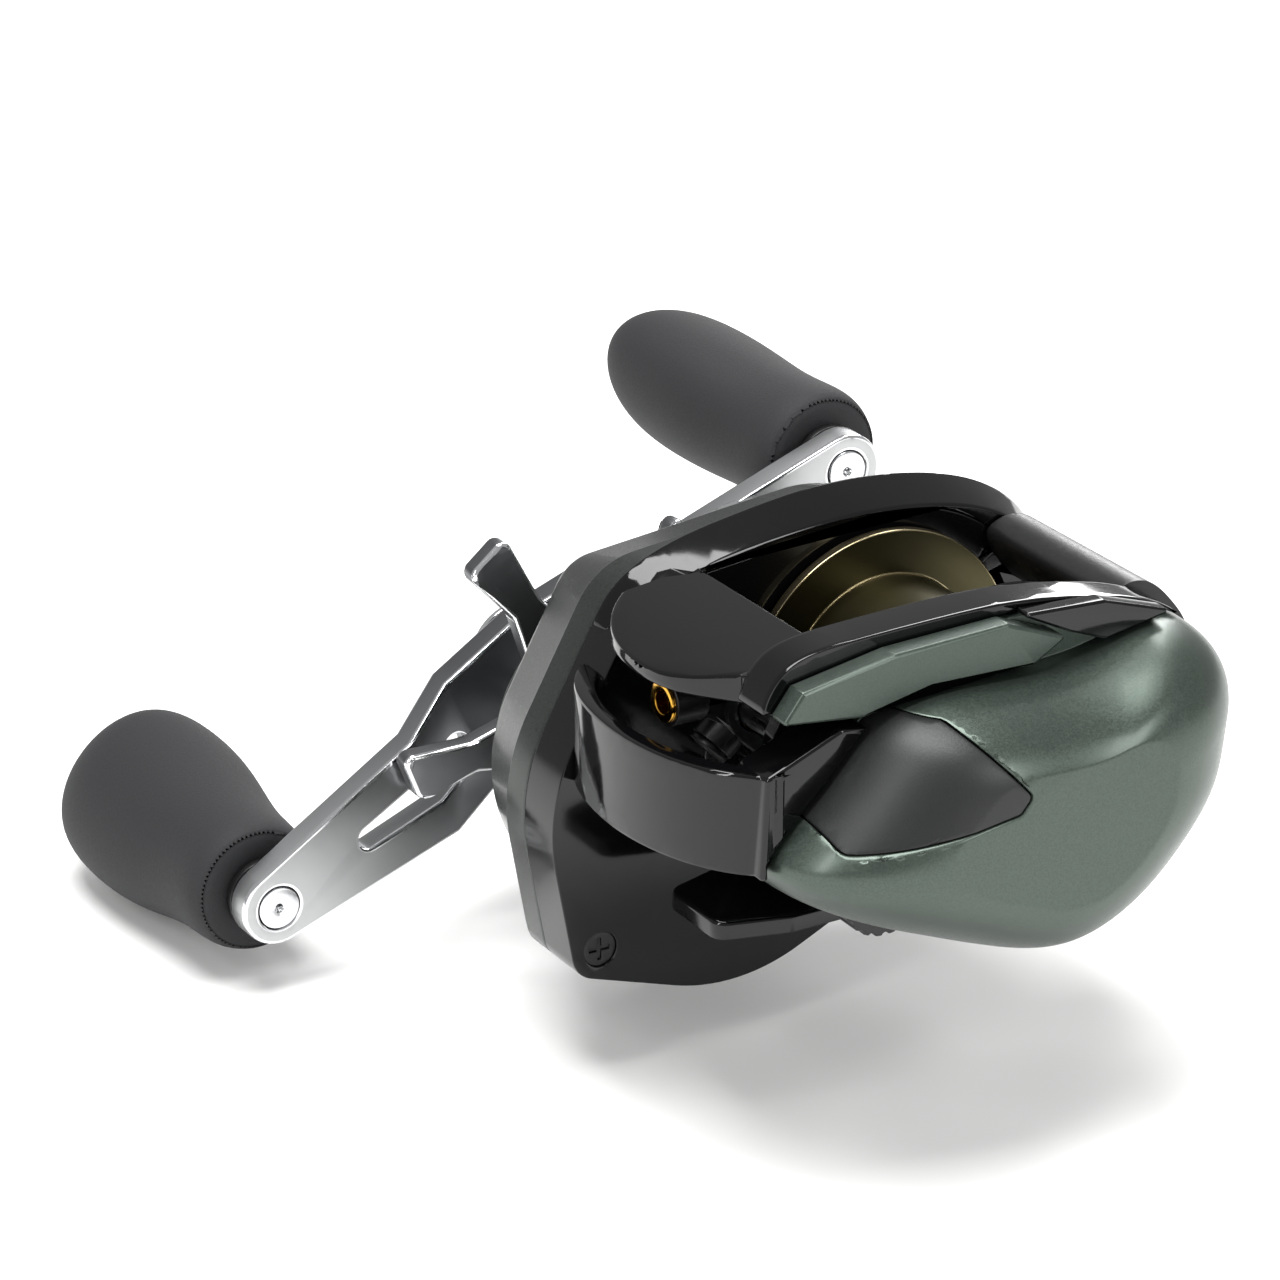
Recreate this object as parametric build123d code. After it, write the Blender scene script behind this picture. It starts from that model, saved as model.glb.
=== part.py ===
from build123d import *
from math import acos, cos, pi, radians, sin, sqrt, tan
import os

# A low-profile baitcasting reel, in millimetres.
# The origin is the middle of the underside of the reel foot.
# +X points to the handle, +Y to the rod tip, +Z up from the rod.

# ---------------------------------------------------------------- driving dimensions
SPOOL_HEIGHT = 18.3       # spool axis above the foot's underside
SPOOL_BACK = 1.5          # spool axis behind the middle of the foot
SPOOL_R = 17.0            # flange radius
SPOOL_W = 22.0            # over the flanges
ARBOR_R = 12.0            # bare radius that the line is wound on
FLANGE_T = 1.2
SPOOL_SHAFT_R = 1.3       # the shaft through the pinion
FLANGE_GAP = 0.8          # flange to frame wall, along the axis
FLANGE_RING_GAP = 0.3     # flange to the ring it leaves the frame through

WALL = 1.8                # frame side walls
CASE_WALL = 1.5           # gear case and side plate skins
CASE_SPLIT = 18.0         # plane where the side plate meets the gear case
PLATE_DEPTH = 15.0        # side plate, from the split outwards
FLANGE_LEN = 4.2          # straight edge of the side plate, which takes the screws
PLATE_TAPER = 15.0        # draft of the side plate, degrees
CASE_BACK_R = 20.3        # gear case about a point low behind the spool axis
CASE_DRIVE_R = 22.3       # gear case about the drive axis
CASE_WORM_R = 9.0         # gear case about the worm axis
RING_R = 18.2             # palm-side frame ring, outside

FOOT_LEN = 57.0
FOOT_W = 14.6
FOOT_TIP_W = 10.0
FOOT_T = 2.2

MODULE = 0.5
PRESSURE_ANGLE = 25.0
ADDENDUM = 0.8            # tooth height above the pitch circle, in modules
DEDENDUM = 1.05           # tooth depth below the pitch circle, in modules
BACKLASH = 0.06           # taken off each tooth's thickness at the pitch circle
DRIVE_TEETH = 74
PINION_TEETH = 10
GUIDE_DRIVE_TEETH = 50
WORM_TEETH = 24
DRIVE_ANGLE = -31.5       # drive axis seen from the spool axis, from +Y towards +Z
WORM_ANGLE = 73.0         # worm axis seen from the drive axis

DRIVE_SHAFT_R = 3.0
HANDLE_R = 42.0           # drive axis to knob axis
HANDLE_ANGLE = -26.6      # front arm at rest, from +Y towards +Z
HANDLE_T = 3.5
HANDLE_X = 51.0           # inner face of the arm at the nut
HANDLE_SWEEP = 4.0        # how far the arm's ends come back towards the reel
HANDLE_HUB_R = 9.0
HANDLE_END_R = 4.5
KNOB_LEN = 39.5
KNOB_W = 21.6
KNOB_T = 16.6
KNOB_NECK_R = 7.8
KNOB_PIN_R = 2.5          # riveted head in the arm
KNOB_SHAFT_R = 2.0

STAR_ARMS = 5
STAR_R = 23.2             # to the tips
STAR_HUB_R = 8.5
STAR_FIRST_ARM = 58.5     # from +Y towards +Z
STAR_X = 40.4             # inner face of the arms at the hub
STAR_SWEEP = 3.4          # how far the tips lean out to the handle
STAR_T = 2.6
CAP_R = 11.0              # cast control cap
CAP_LEN = 3.6
BOSS_R = 16.0             # raised ring of the side plate about the drive axis
BOSS_LEN = 3.0

PALM_DEPTH = 17.0         # palm side plate, from the frame ring outwards
PALM_WALL = 1.6

GUIDE_REST_X = -0.6       # line guide's place at rest
GUIDE_TRAVEL = 9.0        # either side of the middle
CARRIAGE_W = 5.0
WORM_R = 1.9
TUBE_R = 3.0
TUBE_WALL = 0.8
EYE_R = 2.0               # line guide insert, outside
EYE_BORE_R = 1.25

BAR_TRAVEL = 3.6          # thumb bar
BAR_SLIDE_ANGLE = 65.0    # below the horizon, to the rear
YOKE_TRAVEL = 1.4
DIAL_R = 5.4              # brake dial

RUN = 0.06                # radial clearance of a running fit
SLIDE_GAP = 0.1           # radial clearance of the line guide on its tube and rod
SEAT = 0.02               # radial clearance of a piece seated for good
GAP = 0.3                 # between pieces that move past each other
SEAM = 0.15               # between skins that meet

# ---------------------------------------------------------------- places worked out from them
SPOOL = (-SPOOL_BACK, SPOOL_HEIGHT)


def polar(centre, radius, angle):
    """A (Y, Z) point seen from centre; the angle runs from +Y towards +Z."""
    return (centre[0] + radius * cos(radians(angle)), centre[1] + radius * sin(radians(angle)))


def beside_spool(y, z):
    """A (Y, Z) point given from the spool axis."""
    return (SPOOL[0] + y, SPOOL[1] + z)


DRIVE = polar(SPOOL, MODULE * (DRIVE_TEETH + PINION_TEETH) / 2, DRIVE_ANGLE)
WORM = polar(DRIVE, MODULE * (GUIDE_DRIVE_TEETH + WORM_TEETH) / 2, WORM_ANGLE)
INNER = SPOOL_W / 2 + FLANGE_GAP          # inner faces of the frame walls
OUTER = INNER + WALL                      # outer faces of the frame walls
PLATE_OUT = CASE_SPLIT + PLATE_DEPTH
BOSS_OUT = PLATE_OUT + BOSS_LEN
RING_BORE_R = SPOOL_R + FLANGE_RING_GAP
PALM_IN = -OUTER
PALM_OUT = PALM_IN - PALM_DEPTH
ARM_TIP_X = HANDLE_X - HANDLE_SWEEP       # inner face of the arm at the knobs
KNOB_X = ARM_TIP_X + HANDLE_T + 1.6       # where a knob starts
KNOB_A = polar(DRIVE, HANDLE_R, HANDLE_ANGLE)
KNOB_B = polar(DRIVE, HANDLE_R, HANDLE_ANGLE + 180)
GUIDE_ROD_R = 1.2
GUIDE_ROD = polar(WORM, TUBE_R + 3.2, 241)
EYE = (WORM[0] + 9.8, WORM[1] + 1.9)
PAWL_ANGLE = -42.0
PINION_X = 16.6
DRIVE_GEAR_X = 17.4
DRIVE_GEAR_T = 3.4
GUIDE_GEAR_X = 14.6
GUIDE_GEAR_T = 1.8

PARTS = {}


# ---------------------------------------------------------------- shared shapes
def rod(x0, x1, radius, centre):
    """A cylinder along X from x0 to x1."""
    return Pos((x0 + x1) / 2, centre[0], centre[1]) * Rot(0, 90, 0) * Cylinder(radius, abs(x1 - x0))


def tube(x0, x1, outside, inside, centre):
    """A hollow cylinder along X."""
    over = 1.0
    return rod(x0, x1, outside, centre) - rod(min(x0, x1) - over, max(x0, x1) + over, inside, centre)


def prism(sketch, x0, x1, taper=0.0):
    """A flat shape drawn in (Y, Z), pulled along X from x0 to x1."""
    direction = (1, 0, 0) if x1 > x0 else (-1, 0, 0)
    return extrude(Plane.YZ.offset(x0) * sketch, amount=abs(x1 - x0), dir=direction, taper=taper)


def blob(points):
    """A smooth closed outline through the points."""
    return make_face(Spline(*points, periodic=True))


def outline(points):
    """A closed outline with straight sides."""
    return make_face(Polyline(*points, close=True))


def hull_of(circles):
    """The outline of a belt drawn tight around (centre, radius) circles."""
    edges = Sketch() + [Pos(c[0], c[1]) * Circle(r) for c, r in circles]
    return make_hull(edges.edges())


def box(x0, x1, y0, y1, z0, z1):
    """A block between two corners."""
    return Pos((x0 + x1) / 2, (y0 + y1) / 2, (z0 + z1) / 2) * Box(x1 - x0, y1 - y0, z1 - z0)


def gear_outline(teeth, phase):
    """Involute teeth, the first one centred on phase degrees from +Y towards +Z."""
    pitch = MODULE * teeth / 2
    base = pitch * cos(radians(PRESSURE_ANGLE))
    tip = pitch + ADDENDUM * MODULE
    root = pitch - DEDENDUM * MODULE
    start = max(base, root)
    half_pitch = (pi * MODULE / 2 - BACKLASH) / 2 / pitch
    roll = tan(radians(PRESSURE_ANGLE)) - radians(PRESSURE_ANGLE)
    flank = []
    steps = 4
    for i in range(steps + 1):
        r = start + (tip - start) * i / steps
        opening = acos(min(1.0, base / r))
        flank.append((r, half_pitch + roll - (tan(opening) - opening)))
    points = []
    for tooth in range(teeth):
        middle = radians(phase) + 2 * pi * tooth / teeth
        side = [(root, flank[0][1])] + flank if root < start else flank
        for r, spread in side:
            points.append((r * cos(middle - spread), r * sin(middle - spread)))
        for r, spread in reversed(side):
            points.append((r * cos(middle + spread), r * sin(middle + spread)))
    return outline(points)


def gear(x0, thick, teeth, bore, centre, phase):
    """A spur gear along X."""
    wheel = prism(Pos(*centre) * gear_outline(teeth, phase), x0, x0 + thick)
    return wheel - rod(x0 - 1, x0 + thick + 1, bore, centre)


def facing(line_angle, teeth):
    """Phase that turns a tooth gap back along line_angle, to take the driver's tooth."""
    return line_angle + 180 + 180 / teeth


def ball_bearing(x0, width, outside, bore, centre):
    """A shielded ball bearing: races and shields as one ring with a shield step each side."""
    step = 0.2
    race = (outside - bore) / 4
    ring = tube(x0, x0 + width, outside, bore, centre)
    for side in (x0 - step, x0 + width - step):
        ring -= tube(side, side + 2 * step, outside - race, bore + race, centre)
    return ring


def pin(x, centre, start, end, radius, angle):
    """A cylinder in the (Y, Z) plane at x, from start to end along angle."""
    along = (0, cos(radians(angle)), sin(radians(angle)))
    place = Plane(origin=(x, centre[0], centre[1]), z_dir=along)
    return place * Pos(0, 0, (start + end) / 2) * Cylinder(radius, end - start)


def keep(name, shape):
    """Name a finished piece."""
    PARTS[name] = shape


# ---------------------------------------------------------------- outline of the palm side
SEAT_LINE = PALM_IN - SEAM
DIAL = beside_spool(17.5, -9.6)
palm_points = [(-24.0, 4.8), (-22.0, 11.0), (-16.6, 13.6), (-8.5, 12.4), (1.0, 11.6), (12.0, 12.0), (19.0, 10.6)]
palm_points += [(26.4, 3.8), (32.4, -3.8), (26.0, -10.0), (17.0, -14.2), (8.0, -17.8), (-1.0, -19.8)]
palm_points += [(-10.0, -17.0), (-17.6, -10.6), (-22.6, -3.2)]


def plate_outline(inset, size=1.0):
    """The plate's outline, drawn in by inset and scaled about its middle."""
    centre = beside_spool(3.5, -1.5)
    points = []
    for y, z in palm_points:
        spot = beside_spool(y, z)
        arm_y = spot[0] - centre[0]
        arm_z = spot[1] - centre[1]
        length = sqrt(arm_y**2 + arm_z**2)
        scale = size * (length - inset) / length
        points.append((centre[0] + scale * arm_y, centre[1] + scale * arm_z))
    return blob(points)


def plate_room():
    """The space that the plate needs as it is drawn off along the spool axis."""
    return prism(plate_outline(-1.2 * GAP), PALM_IN, PALM_OUT - 1)


def dome(inset, start):
    """The plate's bulge: its outline drawn in again and again towards the crown, inset all over."""
    depth = SEAT_LINE - PALM_OUT - inset
    sections = []
    for share, size in ((0.0, 1.0), (0.3, 0.985), (0.58, 0.92), (0.8, 0.8), (0.93, 0.66), (1.0, 0.5)):
        x = start if share == 0 else SEAT_LINE - share * depth
        sections.append(Plane.YZ.offset(x) * plate_outline(inset, size))
    return loft(sections)


# ---------------------------------------------------------------- frame
CASE_BACK = beside_spool(-2.5, -2.0)
plain_circles = [(CASE_BACK, CASE_BACK_R), (DRIVE, CASE_DRIVE_R), (WORM, CASE_WORM_R)]
post_r = 2.0
gear_room = MODULE * (DRIVE_TEETH / 2 + ADDENDUM) + GAP
SCREWS = [polar(DRIVE, gear_room + post_r + 0.6, -41), polar(DRIVE, gear_room + post_r, -136)]
SCREWS.append(polar(CASE_BACK, CASE_BACK_R - post_r - 0.8, 172))
case_circles = plain_circles + [(SCREWS[0], post_r + 1.5), (SCREWS[1], post_r + 0.6)]
case_profile = hull_of(case_circles)
plain_profile = hull_of(plain_circles)
cavity_profile = hull_of([(centre, radius - CASE_WALL) for centre, radius in plain_circles])
bearing_r = 5.0
pinion_bearing_x = OUTER - WALL
drive_bearing_r = 5.5
slide_dir = (-cos(radians(BAR_SLIDE_ANGLE)), -sin(radians(BAR_SLIDE_ANGLE)))
lug_r = 0.8
LUG = polar(SPOOL, SPOOL_R + 0.7, 147)
lug_end = (LUG[0] + BAR_TRAVEL * slide_dir[0], LUG[1] + BAR_TRAVEL * slide_dir[1])
lug_slot = hull_of([(LUG, lug_r + GAP), (lug_end, lug_r + GAP)])
screw_r = 1.1
head_r = 2.0


def foot():
    """The foot plate, tapered to both ends."""
    half = FOOT_LEN / 2
    taper_len = FOOT_LEN * 0.14
    corners = [(FOOT_TIP_W / 2, half), (FOOT_W / 2, half - taper_len), (FOOT_W / 2, taper_len - half)]
    corners.append((FOOT_TIP_W / 2, -half))
    plate = Polyline(*corners, *[(-x, y) for x, y in reversed(corners)], close=True)
    shape = extrude(make_face(plate), amount=FOOT_T)
    shape = fillet(shape.edges().filter_by(Axis.Z), 2.0)
    return fillet(shape.edges().group_by(Axis.Z)[-1], 0.6)


def frame_shape():
    """Two side walls joined by a stand, a front bar and a rear bar, with the gear case on one."""
    case = prism(case_profile, INNER, CASE_SPLIT) - prism(cavity_profile, OUTER, CASE_SPLIT + 1)
    for spot in SCREWS:
        case += rod(OUTER - 0.5, CASE_SPLIT, post_r, spot)
    case = case & prism(case_profile, INNER, CASE_SPLIT)
    ring_profile = hull_of([(SPOOL, RING_R), (WORM, 5.6)])
    body = case + prism(ring_profile, -OUTER, -INNER)
    stand_top = SPOOL[1] - SPOOL_R - FLANGE_RING_GAP
    stand = box(-FOOT_W / 2, FOOT_W / 2, SPOOL[0] - 14, SPOOL[0] + 16, FOOT_T * 0.5, SPOOL[1])
    bars = box(-INNER - 0.5, INNER + 0.5, SPOOL[0] - 8, SPOOL[0] + 10, 0, stand_top + 1)
    rear = beside_spool(-19.6, -2.0)
    front = beside_spool(19.2, -5.4)
    for spot in (rear, front):
        bars += rod(-INNER - 0.5, INNER + 0.5, 1.9, spot)
    web = prism(hull_of([(rear, 1.2), (beside_spool(-13, -14.8), 1.2)]), -INNER, INNER)
    web += prism(hull_of([(front, 1.2), (beside_spool(14, -14.4), 1.2)]), -INNER, INNER)
    web += prism(hull_of([(beside_spool(-13, -14.8), 1.2), (beside_spool(-6, -17.6), 1.2)]), -INNER, INNER)
    web += prism(hull_of([(beside_spool(14, -14.4), 1.2), (beside_spool(6, -17.6), 1.2)]), -INNER, INNER)
    body += stand + bars + web + foot()
    spool_room = rod(-OUTER - 1, INNER, RING_BORE_R, SPOOL)
    body -= spool_room
    body -= rod(INNER - 1, CASE_SPLIT, bearing_r + SEAT, SPOOL)
    body -= rod(OUTER - 0.8, CASE_SPLIT, drive_bearing_r + SEAT, DRIVE)
    body -= rod(INNER - 1, CASE_SPLIT, TUBE_R - TUBE_WALL + 0.2, WORM)
    for side in (-1, 1):
        body -= rod(side * (INNER - 1), side * (INNER + 0.9), TUBE_R + SEAT, WORM)
        body -= rod(side * (INNER - 1), side * (INNER + 0.9), GUIDE_ROD_R + SEAT, GUIDE_ROD)
    body -= rod(-INNER, -OUTER + 0.4, WORM_R + RUN, WORM)
    body -= prism(lug_slot, INNER - 1, OUTER + 1)
    for spot in SCREWS:
        body -= rod(INNER - 1, CASE_SPLIT + 1, screw_r + SEAT, spot)
        body -= rod(INNER - 1, INNER + 0.9, head_r + SEAT, spot)
    return body


keep("frame", frame_shape())


def screws():
    """Side plate screws, put in from the spool side; one node."""
    group = []
    for spot in SCREWS:
        screw = rod(INNER + 0.2, INNER + 0.9, head_r, spot) + rod(INNER + 0.5, CASE_SPLIT + 3.4, screw_r, spot)
        slot = box(INNER - 1, INNER + 0.6, spot[0] - 1.3, spot[0] + 1.3, spot[1] - 0.25, spot[1] + 0.25)
        turned = Pos(0, *spot) * Rot(90, 0, 0) * Pos(0, -spot[0], -spot[1]) * slot
        group.append(screw - slot - turned)
    return Compound(children=group)


keep("side_plate_screws", screws())


cover_cut = 0.1          # cover to the walls that it sits on
TOP_Z = SPOOL[1] + 16.6
RAIL_T = 5.0
RAIL_DROP = 2.2           # the handle-side rail is this much lower at its inner face
LIP_Z = SPOOL[1] + 11.8
RAIL_X = -INNER - 5.0


def top_cover():
    """The gloss cover: a thumb rest over the line window, a high handle-side rail, a low palm rail."""
    crest = [(32.4, 10.6), (29.4, 15.0), (24.0, 17.8), (15, 19.8), (2.5, 21.1), (-8, 20.2), (-16, 17.9)]
    crest += [(-21.4, 14.5), (-24.8, 10.0)]
    faces = []
    for x, drop in ((INNER, RAIL_DROP), (INNER + RAIL_T, 0.0)):
        line = []
        for y, z in crest:
            share = 1 - drop / sqrt(y**2 + z**2)
            line.append(beside_spool(share * y, share * z))
        face = make_face(Spline(*line) + Line(line[-1], line[0]))
        faces.append(Plane.YZ.offset(x) * face)
    handle_rail = loft(faces)
    brow = [(32, 12.6), (28.6, 17.4), (22, 18.6), (11, 18.9), (0, 18.6), (-10, 16.9), (-19.6, 13.2), (-22.6, 9.8)]
    brow = [beside_spool(y, z) for y, z in brow]
    palm_side = make_face(Spline(*brow) + Line(brow[-1], brow[0]))
    palm_rail = prism(palm_side, RAIL_X, -INNER)
    plan = [(13.6, 30.4), (11, 33.4), (2, 36.4), (-5, 35.6), (-10, 32.4), (RAIL_X, 28.6)]
    plan = [(x, y + SPOOL[0]) for x, y in plan]
    rear_y = SPOOL[0] + 21.5
    edge = Spline(*plan) + Polyline(plan[-1], (plan[-1][0], rear_y), (plan[0][0], rear_y), plan[0])
    rest = extrude(Pos(0, 0, LIP_Z) * make_face(edge), amount=TOP_Z - LIP_Z)
    slope = [(18, -6.0), (18, 16.6), (22, 16.4), (30, 15.4), (38, 12.9), (38, -6.0)]
    rest = rest & prism(outline([beside_spool(y, z) for y, z in slope]), RAIL_X, INNER + RAIL_T)
    cover = handle_rail + palm_rail + rest
    cover -= prism(case_profile, INNER - 0.01, CASE_SPLIT + 1)
    ring_profile = hull_of([(SPOOL, RING_R + cover_cut), (WORM, 5.7)])
    cover -= prism(ring_profile, -OUTER - cover_cut, -INNER + 0.01)
    cover -= rod(-INNER - 6, INNER + 6, RING_BORE_R + GAP, SPOOL)
    return cover - plate_room()


keep("top_cover", top_cover())


def front_guard():
    """The bow in front of the line window, from the gear case round to the palm plate."""
    outer = [(INNER + 5.6, 32.5), (12.5, 37.2), (4.5, 39.6), (-5, 39.6), (-13, 37.2), (-19.5, 31.5)]
    inner = [(x * 0.9, y - 2.0) for x, y in outer]
    outer = [(x, y + SPOOL[0]) for x, y in outer]
    inner = [(x, y + SPOOL[0]) for x, y in inner]
    bow = Spline(*outer) + Line(outer[-1], inner[-1]) + Spline(*reversed(inner)) + Line(inner[0], outer[0])
    band = extrude(Pos(0, 0, SPOOL[1] - 4.6) * make_face(bow), amount=11.4)
    cheek = [(20.6, 9.8), (24.0, 10.4), (33.0, 6.8), (33.6, -4.6), (31.0, -4.6), (20.0, 4.0)]
    palm_arm = prism(outline([beside_spool(y, z) for y, z in cheek]), -OUTER - 0.02, -19.4)
    guard = band + palm_arm
    guard -= prism(case_profile, INNER - 0.01, CASE_SPLIT + 9)
    guard -= plate_room()
    guard -= rod(PALM_IN - 0.5, PALM_OUT, DIAL_R + 2 * GAP, DIAL)
    return guard


keep("front_guard", front_guard())


# ---------------------------------------------------------------- level wind
def guide_tube():
    """Slotted tube round the worm, held in both side walls."""
    slot = prism(hull_of([(WORM, 0.95), (polar(WORM, 6, PAWL_ANGLE), 0.95)]), -INNER + 1, INNER - 1)
    return tube(-INNER - 0.85, INNER + 0.85, TUBE_R, TUBE_R - TUBE_WALL, WORM) - slot


def worm_shaft():
    """The crossing-groove shaft, plain here but for its ring grooves, with its drive end."""
    shaft = rod(-INNER - 1.3, GUIDE_GEAR_X + GUIDE_GEAR_T + 0.6, WORM_R, WORM)
    pitch = 3.6
    count = int(2 * GUIDE_TRAVEL / pitch) + 1
    for i in range(count):
        x = (i - (count - 1) / 2) * pitch
        shaft -= tube(x - 0.35, x + 0.35, WORM_R + 1, WORM_R - 0.3, WORM)
    return shaft


def carriage():
    """Line guide body: runs on the tube and the rod, holds the eye and the pawl."""
    half = CARRIAGE_W / 2
    x0 = GUIDE_REST_X - half
    x1 = GUIDE_REST_X + half
    body = prism(hull_of([(WORM, TUBE_R + 1.3), (GUIDE_ROD, GUIDE_ROD_R + 1.2)]), x0, x1)
    body += pin(GUIDE_REST_X, WORM, 0, 6.4, half, PAWL_ANGLE)
    holder_r = EYE_R + 0.7
    neck_end = (EYE[0] - 3.0, EYE[1])
    body += prism(hull_of([(WORM, TUBE_R + 0.6), (neck_end, 1.6)]), x0 + 0.6, x1 - 0.6)
    body += pin(GUIDE_REST_X, EYE, -3.2, 0.6, holder_r, 0)
    body -= box(x0 - 1, x1 + 1, EYE[0] - 3.0, EYE[0] + 1, EYE[1] + holder_r - 0.05, EYE[1] + 9)
    body -= rod(x0 - 1, x1 + 1, TUBE_R + SLIDE_GAP, WORM)
    body -= rod(x0 - 1, x1 + 1, GUIDE_ROD_R + SLIDE_GAP, GUIDE_ROD)
    body -= pin(GUIDE_REST_X, EYE, -9.0, 2.0, EYE_R + SEAT, 0)
    body -= pin(GUIDE_REST_X, WORM, 3.0, 7.0, 1.9, PAWL_ANGLE)
    notch_z = WORM[1] + TUBE_R + 0.2
    body -= box(GUIDE_REST_X - 1.3, GUIDE_REST_X + 1.3, WORM[0] - 6, EYE[0] - 3.4, notch_z, notch_z + 6)
    return body


def eye():
    """Hard ring that the line runs through, flared at the front."""
    ring = pin(GUIDE_REST_X, EYE, -3.0, 0.9, EYE_R, 0) + pin(GUIDE_REST_X, EYE, 0.65, 1.1, EYE_R + 0.25, 0)
    return ring - pin(GUIDE_REST_X, EYE, -4, 2, EYE_BORE_R, 0)


def pawl():
    """Follower that sits in the worm's groove, with its head in the carriage."""
    stem = pin(GUIDE_REST_X, WORM, WORM_R + 0.12, 4.0, 0.8, PAWL_ANGLE)
    return stem + pin(GUIDE_REST_X, WORM, 3.5, 5.5, 1.8, PAWL_ANGLE)


def pawl_cap():
    """Screwed cap under the pawl."""
    plug = pin(GUIDE_REST_X, WORM, 5.7, 6.5, 1.88, PAWL_ANGLE)
    cap = plug + pin(GUIDE_REST_X, WORM, 6.45, 7.1, 2.3, PAWL_ANGLE)
    return cap - pin(GUIDE_REST_X, WORM, 6.8, 8.0, 0.6, PAWL_ANGLE)


keep("guide_tube", guide_tube())
keep("guide_rod", rod(-INNER - 0.85, INNER + 0.85, GUIDE_ROD_R, GUIDE_ROD))
keep("worm_shaft", worm_shaft())
worm_phase = facing(WORM_ANGLE, WORM_TEETH)
keep("worm_gear", gear(GUIDE_GEAR_X, GUIDE_GEAR_T, WORM_TEETH, WORM_R + SEAT, WORM, worm_phase))
keep("line_guide_carriage", carriage())
keep("line_guide_eye", eye())
keep("level_wind_pawl", pawl())
keep("pawl_cap", pawl_cap())


# ---------------------------------------------------------------- spool and cast brake
BRAKE_X = -SPOOL_W / 2 - 2.2


def spool():
    """Thin-walled spool: two flanges, an arbor and a hub, with a bright rim on each flange."""
    half = SPOOL_W / 2
    shape = rod(-half, half, SPOOL_R, SPOOL)
    shape -= tube(-half + FLANGE_T, half - FLANGE_T, SPOOL_R + 1, ARBOR_R, SPOOL)
    shape -= rod(-half - 1, -half + 7.5, ARBOR_R - 1.2, SPOOL)
    shape -= rod(half - 7.5, half + 1, ARBOR_R - 1.2, SPOOL)
    shape += rod(-half + 1, half - 0.5, SPOOL_SHAFT_R + 2.2, SPOOL)
    return shape - rod(-half - 1, half + 1, SPOOL_SHAFT_R + SEAT, SPOOL)


SHAFT_LEFT = PALM_IN - 5.4
SHAFT_RIGHT = PLATE_OUT + 3.2


def spool_shaft():
    """The through shaft, from the palm-side bearing to the cast control cap."""
    return rod(SHAFT_LEFT, SHAFT_RIGHT, SPOOL_SHAFT_R, SPOOL)


def brake_wheel():
    """Hub with six short arms that carry the brake weights."""
    wheel = rod(BRAKE_X, BRAKE_X + 1.6, 3.4, SPOOL)
    for i in range(6):
        wheel += pin(BRAKE_X + 0.8, SPOOL, 2.5, 8.4, 0.5, 60 * i)
    return wheel - rod(BRAKE_X - 1, BRAKE_X + 3, SPOOL_SHAFT_R + SEAT, SPOOL)


def brake_weights():
    """Six sliding weights on the arms; one node."""
    group = []
    for i in range(6):
        weight = pin(BRAKE_X + 0.8, SPOOL, 5.6, 8.0, 0.75, 60 * i)
        group.append(weight - pin(BRAKE_X + 0.8, SPOOL, 5, 9, 0.5 + SEAT, 60 * i))
    return Compound(children=group)


keep("spool", spool())
keep("spool_shaft", spool_shaft())
keep("brake_wheel", brake_wheel())
keep("brake_weights", brake_weights())
keep("spool_bearing_handle_side", ball_bearing(INNER + 0.2, 2.4, bearing_r, SPOOL_SHAFT_R + 2 * RUN, SPOOL))


# ---------------------------------------------------------------- pinion, clutch and thumb bar
pinion_phase = facing(DRIVE_ANGLE + 180, PINION_TEETH)
PINION_LEN = 8.0
GROOVE_X = PINION_X + PINION_LEN + 0.8
GROOVE_W = 1.4
POST_ANGLE = DRIVE_ANGLE + 90
POSTS = [polar(SPOOL, 9, POST_ANGLE), polar(SPOOL, 9, POST_ANGLE + 180)]
YOKE_X = GROOVE_X + 0.2
YOKE_T = GROOVE_W - 0.4
SPRING_X = YOKE_X + YOKE_T + YOKE_TRAVEL + 0.2


def pinion():
    """Ten-tooth pinion with a grooved collar for the clutch yoke."""
    shape = prism(Pos(*SPOOL) * gear_outline(PINION_TEETH, pinion_phase), PINION_X, GROOVE_X - 0.8)
    collar_r = MODULE * PINION_TEETH / 2 + 0.9
    shape += rod(GROOVE_X - 0.8, GROOVE_X, collar_r, SPOOL)
    shape += rod(GROOVE_X, GROOVE_X + GROOVE_W, collar_r - 1.1, SPOOL)
    shape += rod(GROOVE_X + GROOVE_W, GROOVE_X + GROOVE_W + 0.8, collar_r, SPOOL)
    return shape - rod(PINION_X - 1, GROOVE_X + 9, SPOOL_SHAFT_R + RUN, SPOOL)


def yoke():
    """Flat fork that pulls the pinion off the spool."""
    plate = hull_of([(POSTS[0], 2.2), (SPOOL, 5.4), (POSTS[1], 2.2)])
    shape = prism(plate, YOKE_X, YOKE_X + YOKE_T)
    mouth = hull_of([(SPOOL, 2.5), (polar(SPOOL, 12, DRIVE_ANGLE + 180), 2.5)])
    shape -= prism(mouth, YOKE_X - 1, YOKE_X + YOKE_T + 1)
    for post in POSTS:
        shape -= rod(YOKE_X - 1, YOKE_X + YOKE_T + 1, 0.8 + SLIDE_GAP, post)
    return shape


def posts():
    """Two pins that guide the yoke; one node."""
    return Compound(children=[rod(OUTER, SPRING_X + 3.0, 0.8, post) for post in POSTS])


def springs():
    """Yoke springs on the posts, at their pressed length; one node."""
    coils = []
    for post in POSTS:
        coils.append(tube(SPRING_X, SPRING_X + 3.0, 1.5, 0.8 + SLIDE_GAP, post))
    return Compound(children=coils)


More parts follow.
